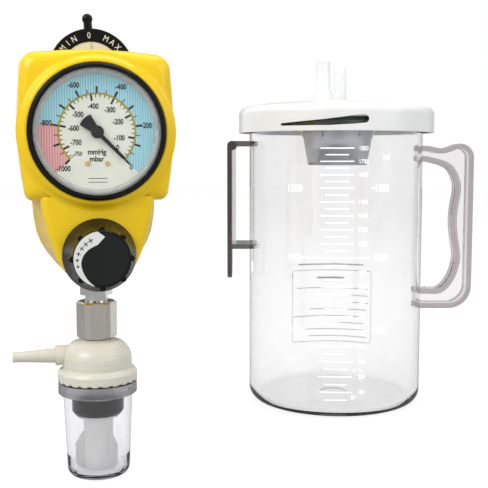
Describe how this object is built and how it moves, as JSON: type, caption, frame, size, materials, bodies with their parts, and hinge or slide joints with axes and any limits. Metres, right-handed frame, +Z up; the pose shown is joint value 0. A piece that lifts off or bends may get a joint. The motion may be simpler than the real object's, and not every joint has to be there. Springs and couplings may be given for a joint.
{
  "type": "suction bottle with vacuum regulator and overflow trap",
  "caption": "Clear suction bottle with white lid, handle and hanger, beside a yellow vacuum regulator with round gauge, selector, knob and small overflow trap.",
  "frame": {"origin": "centre of the bottle's foot", "axes": "+Z up, +X towards the bottle's handle, -Y towards the graduated front of the bottle; the regulator stands to the left (-X) and in front (-Y), turned 13 degrees about +Z"},
  "size_m": [0.2863, 0.2802, 0.2494],
  "materials": {
    "jar_plastic": "smooth, clear, slightly smoky",
    "handle_plastic": "smooth, tinted clear",
    "hanger_plastic": "smooth, dark where seen edge-on",
    "lid_plastic": "semi-gloss white",
    "cage_plastic": "translucent, satin",
    "gasket_rubber": "soft, matt",
    "black_rubber": "soft, matt",
    "cover_plastic": "glossy yellow",
    "black_plastic": "semi-gloss black",
    "ivory_plastic": "semi-gloss ivory",
    "float_plastic": "satin white",
    "cup_plastic": "clear",
    "window_glass": "clear",
    "dial_paint": "matt cream, printed scale",
    "case_metal": "grey",
    "pointer_paint": "matt black",
    "brass": "turned brass",
    "chrome": "bright plating",
    "satin_nickel": "satin plating",
    "steel": "bright steel",
    "block_metal": "machined"
  },
  "bodies": {
    "bottle": {"bottle_jar": "jar_plastic", "jar_handle": "handle_plastic", "hanger_bracket": "hanger_plastic"},
    "gasket": {"lid_gasket": "gasket_rubber"},
    "lid": {"lid": "lid_plastic", "patient_spout": "lid_plastic", "vacuum_spout": "lid_plastic", "float_cage": "cage_plastic"},
    "lid_float": {"lid_float": "float_plastic", "lid_float_seal": "black_rubber"},
    "regulator": {"front_cover": "cover_plastic", "rear_cover": "cover_plastic", "cover_screws": "steel", "valve_block": "block_metal", "gauge_case": "case_metal", "bezel_ring": "black_plastic", "gauge_window": "window_glass", "window_ring": "case_metal", "gauge_dial": "dial_paint", "dial_screws": "brass", "movement_plates": "brass", "bourdon_tube": "brass", "gauge_link": "brass", "gauge_socket": "brass", "selector_disc": "ivory_plastic", "detent_ball": "steel", "detent_spring": "steel", "spring_housing": "brass", "main_spring": "steel", "diaphragm": "black_rubber", "valve_seat": "float_plastic", "return_spring": "steel", "block_plug": "brass", "inlet_adapter": "chrome", "outlet_nipple": "chrome", "hex_sleeve": "satin_nickel", "trap_stem": "chrome", "trap_cap": "ivory_plastic", "trap_gasket": "black_rubber"},
    "selector": {"selector_ring": "black_plastic"},
    "knob": {"knob": "black_plastic", "knob_insert": "black_plastic", "knob_screw": "steel", "adjusting_spindle": "brass"},
    "spring_nut": {"spring_button": "steel"},
    "valve": {"diaphragm_plate": "steel", "valve_stem": "steel"},
    "sector": {"sector_gear": "brass"},
    "pointer": {"gauge_pointer": "pointer_paint", "pointer_pinion": "brass"},
    "trap_cup": {"trap_cup": "cup_plastic"},
    "trap_float": {"trap_float": "float_plastic", "trap_float_seal": "black_rubber"}
  },
  "joints": [
    {"name": "lid_lift", "type": "slide", "parent": "bottle", "child": "gasket", "axis": [0, 0, 1], "range_m": [0, 0.07]},
    {"name": "lid_turn", "type": "hinge", "parent": "gasket", "child": "lid", "pos_m": [0, 0, 0.2], "axis": [0, 0, 1], "range_deg": [0, 33]},
    {"name": "lid_float_rise", "type": "slide", "parent": "lid", "child": "lid_float", "axis": [0, 0, 1], "range_m": [0, 0.005]},
    {"name": "regulator_lift", "type": "slide", "parent": "bottle", "child": "regulator", "axis": [0, 0, 1], "range_m": [0, 0.15]},
    {"name": "selector_turn", "type": "hinge", "parent": "regulator", "child": "selector", "pos_m": [-0.14725, -0.15026, 0.2186], "axis": [-0.225, 0.9744, 0], "range_deg": [-39, 36]},
    {"name": "knob_turn", "type": "hinge", "parent": "regulator", "child": "knob", "pos_m": [-0.13623, -0.198, 0.1235], "axis": [-0.225, 0.9744, 0], "range_deg": [0, 720]},
    {"name": "nut_travel", "type": "slide", "parent": "regulator", "child": "spring_nut", "axis": [-0.225, 0.9744, 0], "range_m": [0, 0.004], "deforming": ["main_spring"]},
    {"name": "valve_travel", "type": "slide", "parent": "regulator", "child": "valve", "axis": [-0.225, 0.9744, 0], "range_m": [0, 0.001], "deforming": ["diaphragm", "return_spring"]},
    {"name": "sector_turn", "type": "hinge", "parent": "regulator", "child": "sector", "pos_m": [-0.14059, -0.1791, 0.1719], "axis": [-0.225, 0.9744, 0], "range_deg": [0, 36], "stiffness_Nm_per_rad": 0.002},
    {"name": "pointer_turn", "type": "hinge", "parent": "regulator", "child": "pointer", "pos_m": [-0.1387, -0.18728, 0.1855], "axis": [0.225, -0.9744, 0], "range_deg": [0, 270.01]},
    {"name": "trap_cup_turn", "type": "hinge", "parent": "regulator", "child": "trap_cup", "pos_m": [-0.145, -0.16, 0.04], "axis": [0, 0, -1], "range_deg": [0, 90]},
    {"name": "trap_float_rise", "type": "slide", "parent": "trap_cup", "child": "trap_float", "axis": [0, 0, 1], "range_m": [0, 0.006]}
  ],
  "couplings": [
    {"joint": "nut_travel", "follows": "knob_turn", "m_per_rad": 0.000318},
    {"joint": "valve_travel", "follows": "knob_turn", "m_per_rad": 0.0000795},
    {"joint": "pointer_turn", "follows": "sector_turn", "ratio": 7.5}
  ]
}
